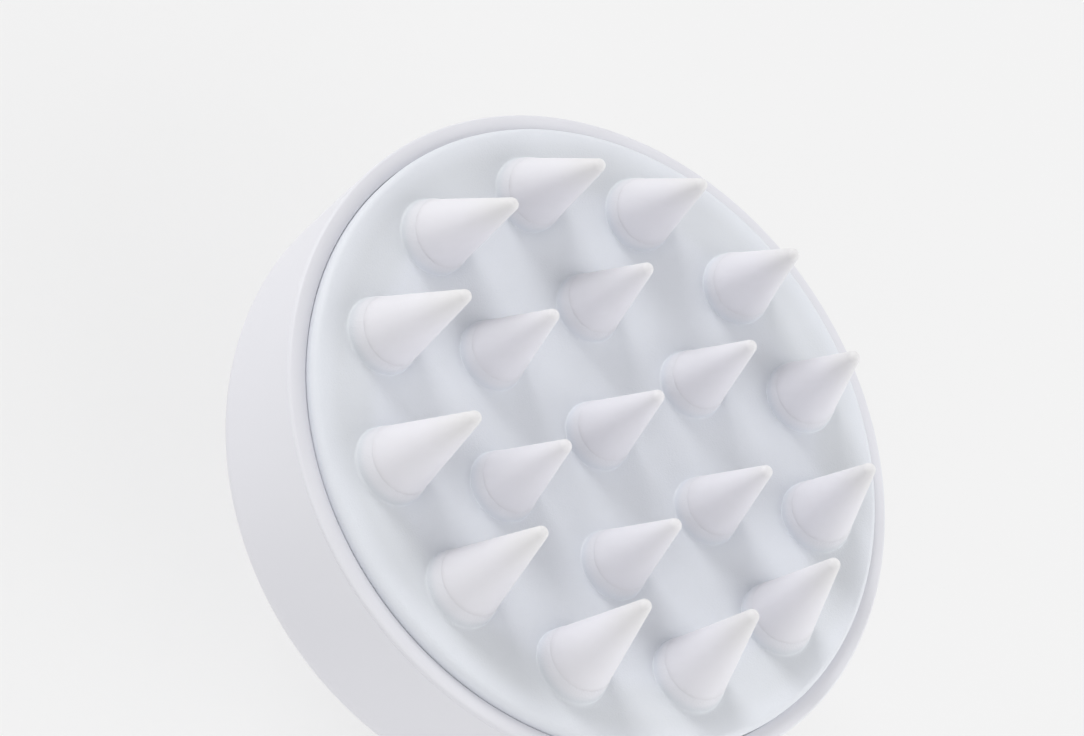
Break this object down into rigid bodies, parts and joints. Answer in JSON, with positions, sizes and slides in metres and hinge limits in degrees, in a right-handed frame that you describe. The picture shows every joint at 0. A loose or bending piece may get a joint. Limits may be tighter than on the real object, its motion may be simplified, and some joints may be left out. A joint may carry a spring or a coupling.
{
  "type": "scalp massager brush",
  "caption": "Round palm-held scalp massager brush: soft leaning cones in a dished cushion pad, set in a cup housing with a waisted knob grip; the pad head pulls out for rinsing.",
  "frame": {"origin": "centre of the flat end of the knob, on the brush's axis", "axes": "+Z along the brush's axis from the knob to the cones; an outer cone stands 15 degrees to each side of +X"},
  "size_m": [0.08, 0.08, 0.0581],
  "materials": {
    "housing_abs": "fine matte moulded white",
    "knob_abs": "fine matte moulded white",
    "cap_abs": "fine matte moulded white",
    "carrier_abs": "plain moulded white",
    "pad_silicone": "satin cool white, slightly translucent",
    "cone_silicone": "matte white",
    "screw_steel": "plain zinc-plated"
  },
  "bodies": {
    "housing": {"housing_cup": "housing_abs", "grip_knob": "knob_abs", "knob_cap": "cap_abs", "knob_screw_1": "screw_steel", "knob_screw_2": "screw_steel", "knob_screw_3": "screw_steel"},
    "head": {"pad_carrier": "carrier_abs", "massage_pad": "pad_silicone", "cone_centre": "cone_silicone", "cone_inner_1": "cone_silicone", "cone_inner_2": "cone_silicone", "cone_inner_3": "cone_silicone", "cone_inner_4": "cone_silicone", "cone_inner_5": "cone_silicone", "cone_inner_6": "cone_silicone", "cone_outer_01": "cone_silicone", "cone_outer_02": "cone_silicone", "cone_outer_03": "cone_silicone", "cone_outer_04": "cone_silicone", "cone_outer_05": "cone_silicone", "cone_outer_06": "cone_silicone", "cone_outer_07": "cone_silicone", "cone_outer_08": "cone_silicone", "cone_outer_09": "cone_silicone", "cone_outer_10": "cone_silicone", "cone_outer_11": "cone_silicone", "cone_outer_12": "cone_silicone"}
  },
  "joints": [
    {"name": "head_pull", "type": "slide", "parent": "housing", "child": "head", "axis": [0, 0, 1], "range_m": [0, 0.03]}
  ]
}
